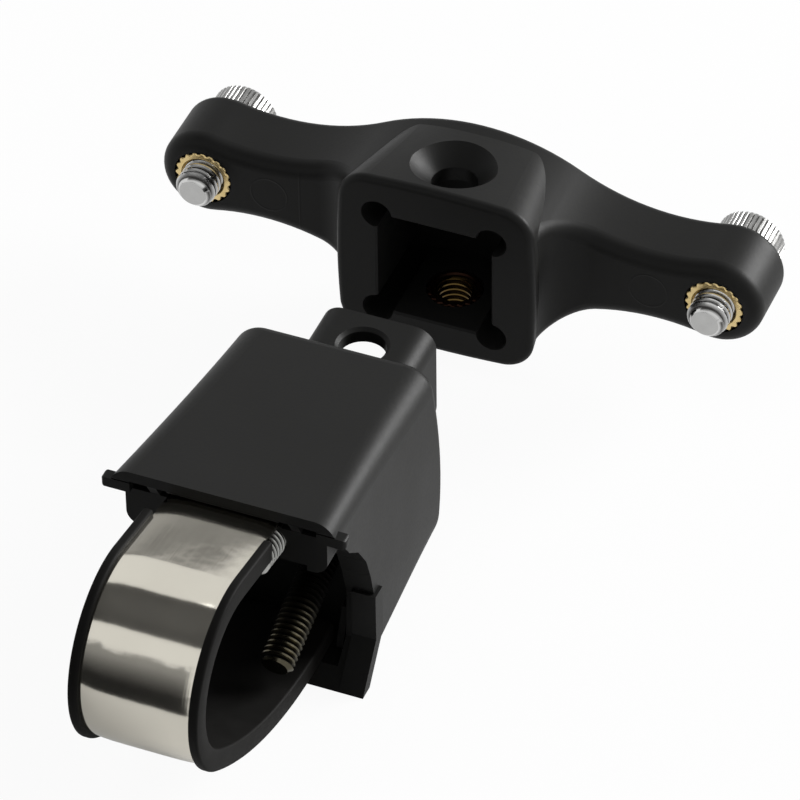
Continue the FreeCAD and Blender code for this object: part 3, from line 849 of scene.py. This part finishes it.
# %% Floor
FLOOR_REACH = 4.0
FLOOR_GAP = 0.05 * MM
FLOOR_WHITE = 0.82
SEEN_WHITE = 0.94
MIRRORED_FRONT = 0.14
MIRRORED_BACK = 0.42
MIRRORED_SLANT = 6.0
BACK_REACH = 60 * MM
floor_mesh = bpy.data.meshes.new("floor")
bm = bmesh.new()
bmesh.ops.create_grid(bm, x_segments=1, y_segments=1, size=FLOOR_REACH)
bmesh.ops.translate(bm, verts=bm.verts, vec=(0, 0, cad_box[0].z - FLOOR_GAP))
bm.to_mesh(floor_mesh)
bm.free()
floor = bpy.data.objects.new("floor", floor_mesh)
bpy.context.scene.collection.objects.link(floor)

sheet = Finish("floor_sheet", {"Roughness": 0.9, "Specular IOR Level": 0.0})
sheet.feed("Base Color", opaque(FLOOR_WHITE, FLOOR_WHITE, FLOOR_WHITE))
seen = sheet.node("LightPath", {}, {}, output="Is Camera Ray")
shiny = sheet.node("LightPath", {}, {}, output="Is Glossy Ray")
through = sheet.node("LightPath", {}, {}, output="Is Transmission Ray")
behind = (sheet.axis("Y") / BACK_REACH).limited()
mirror_share = MIRRORED_FRONT + behind * (MIRRORED_BACK - sheet.axis("X") * MIRRORED_SLANT)
share = (seen * SEEN_WHITE + shiny * mirror_share.limited() + through * SEEN_WHITE).limited()
glow = sheet.node("Emission", {}, {"Color": opaque(1, 1, 1)})
plain = Signal(sheet, sheet.shader.outputs[0])
blend = sheet.node("MixShader", {}, {0: share, 1: plain, 2: glow})
sheet.join(sheet.tree.nodes["Material Output"].inputs[0], blend)
floor_mesh.materials.append(sheet.material)
print("floor at", round(cad_box[0].z, 4))

# %% Light from all round
AMBIENT = 0.25
MIRRORED_SKY = 0.9
world = bpy.data.worlds.new("studio")
bpy.context.scene.world = world
world.use_nodes = True
sky = Network(world.node_tree)
seen = sky.node("LightPath", {}, {}, output="Is Camera Ray")
shiny = sky.node("LightPath", {}, {}, output="Is Glossy Ray")
through = sky.node("LightPath", {}, {}, output="Is Transmission Ray")
strength = AMBIENT + (1 - AMBIENT) * (seen + shiny * MIRRORED_SKY + through).limited()
background = world.node_tree.nodes["Background"]
sky.join(background.inputs["Color"], opaque(1, 1, 1))
sky.join(background.inputs["Strength"], strength)
print("ambient", AMBIENT)

# %% Lamps
MIDDLE = Vector((0, 45 * MM, 0))


def soft_lamp(name, place, size, power):
    data = bpy.data.lights.new(name, "AREA")
    data.shape = "RECTANGLE"
    data.size, data.size_y = size
    data.energy = power
    lamp = bpy.data.objects.new(name, data)
    lamp.location = place
    lamp.rotation_euler = (MIDDLE - Vector(place)).to_track_quat("-Z", "Y").to_euler()
    bpy.context.scene.collection.objects.link(lamp)
    print(name, power, "W")


soft_lamp("right_lamp", place=(0.62, 0.70, 0.32), size=(0.5, 0.45), power=16.0)
soft_lamp("top_lamp", place=(-0.2, -0.1, 0.9), size=(0.6, 0.6), power=1.5)

# %% [markdown]
# ## Dark cards
# Polished steel shows what stands round it, and in an all-white room it looks like white paint.
# A photographer sets up dark cards for it.  One stands in front of the strap, one hangs
# overhead and a small one stands behind.  Each glows in a plain grey that says how much light
# falls on it.  The front one pales upwards and ends in a ragged edge, so that the steel shows no
# hard line.  Only mirrors see them: they neither show in the picture nor shade the object.


# %% Cards
def dark_card(name, corners, finish):
    """A flat card with four corners in millimetres that only glossy rays see."""
    bm = bmesh.new()
    bm.faces.new([bm.verts.new(Vector(corner) * MM) for corner in corners])
    mesh = bpy.data.meshes.new(name)
    bm.to_mesh(mesh)
    bm.free()
    mesh.materials.append(finish.material)
    card = bpy.data.objects.new(name, mesh)
    bpy.context.scene.collection.objects.link(card)
    card.visible_camera = False
    card.visible_diffuse = False
    card.visible_shadow = False
    card.visible_transmission = False
    print(name, "set up")


FADE_POWER = 1.5
FIBRE_SCALE = 330.0
FIBRE_STRETCH = (1, 1, 0.4)
TEAR_SHARPNESS = 8.0
UNTORN = 9.0


def card_finish(name, low, high, bottom, top, torn_at=UNTORN, ragged=0.0):
    """A card that glows from one grey to another between two heights, and may be torn off above."""
    made = Finish(name, {"Specular IOR Level": 0.0})
    height = (made.axis("Z") - low * MM) / ((high - low) * MM)
    low_grey, high_grey = opaque(bottom, bottom, bottom), opaque(top, top, top)
    shade = made.colours(height.limited() ** FADE_POWER, low_grey, high_grey)
    glow = made.node("Emission", {}, {"Color": shade})
    fibres = made.noise(FIBRE_SCALE, detail=2.0, stretch=FIBRE_STRETCH)
    torn = (height - torn_at + (fibres - 0.5) * ragged) * TEAR_SHARPNESS
    clear = made.node("BsdfTransparent", {}, {})
    blend = made.node("MixShader", {}, {0: torn.limited(), 1: glow, 2: clear})
    made.join(made.tree.nodes["Material Output"].inputs[0], blend)
    return made


foot = cad_box[0].z / MM
front_finish = card_finish(
    "front_card", low=-3.0, high=27.0, bottom=0.022, top=0.30, torn_at=1.3, ragged=1.2
)
front_corners = [(-160, -62, foot), (0, -62, foot), (0, -62, 60), (-160, -62, 60)]
dark_card("front_card", front_corners, front_finish)
high_finish = card_finish("high_card", low=0.0, high=1000.0, bottom=0.07, top=0.07)
high_corners = [(-600, -345, 500), (100, -345, 500), (100, 125, 500), (-600, 125, 500)]
dark_card("high_card", high_corners, high_finish)
back_finish = card_finish("back_card", low=77.5, high=83.5, bottom=0.40, top=0.155)
back_corners = [(-100, 150, 60), (0, 150, 60), (0, 150, 91), (-100, 150, 91)]
dark_card("back_card", back_corners, back_finish)
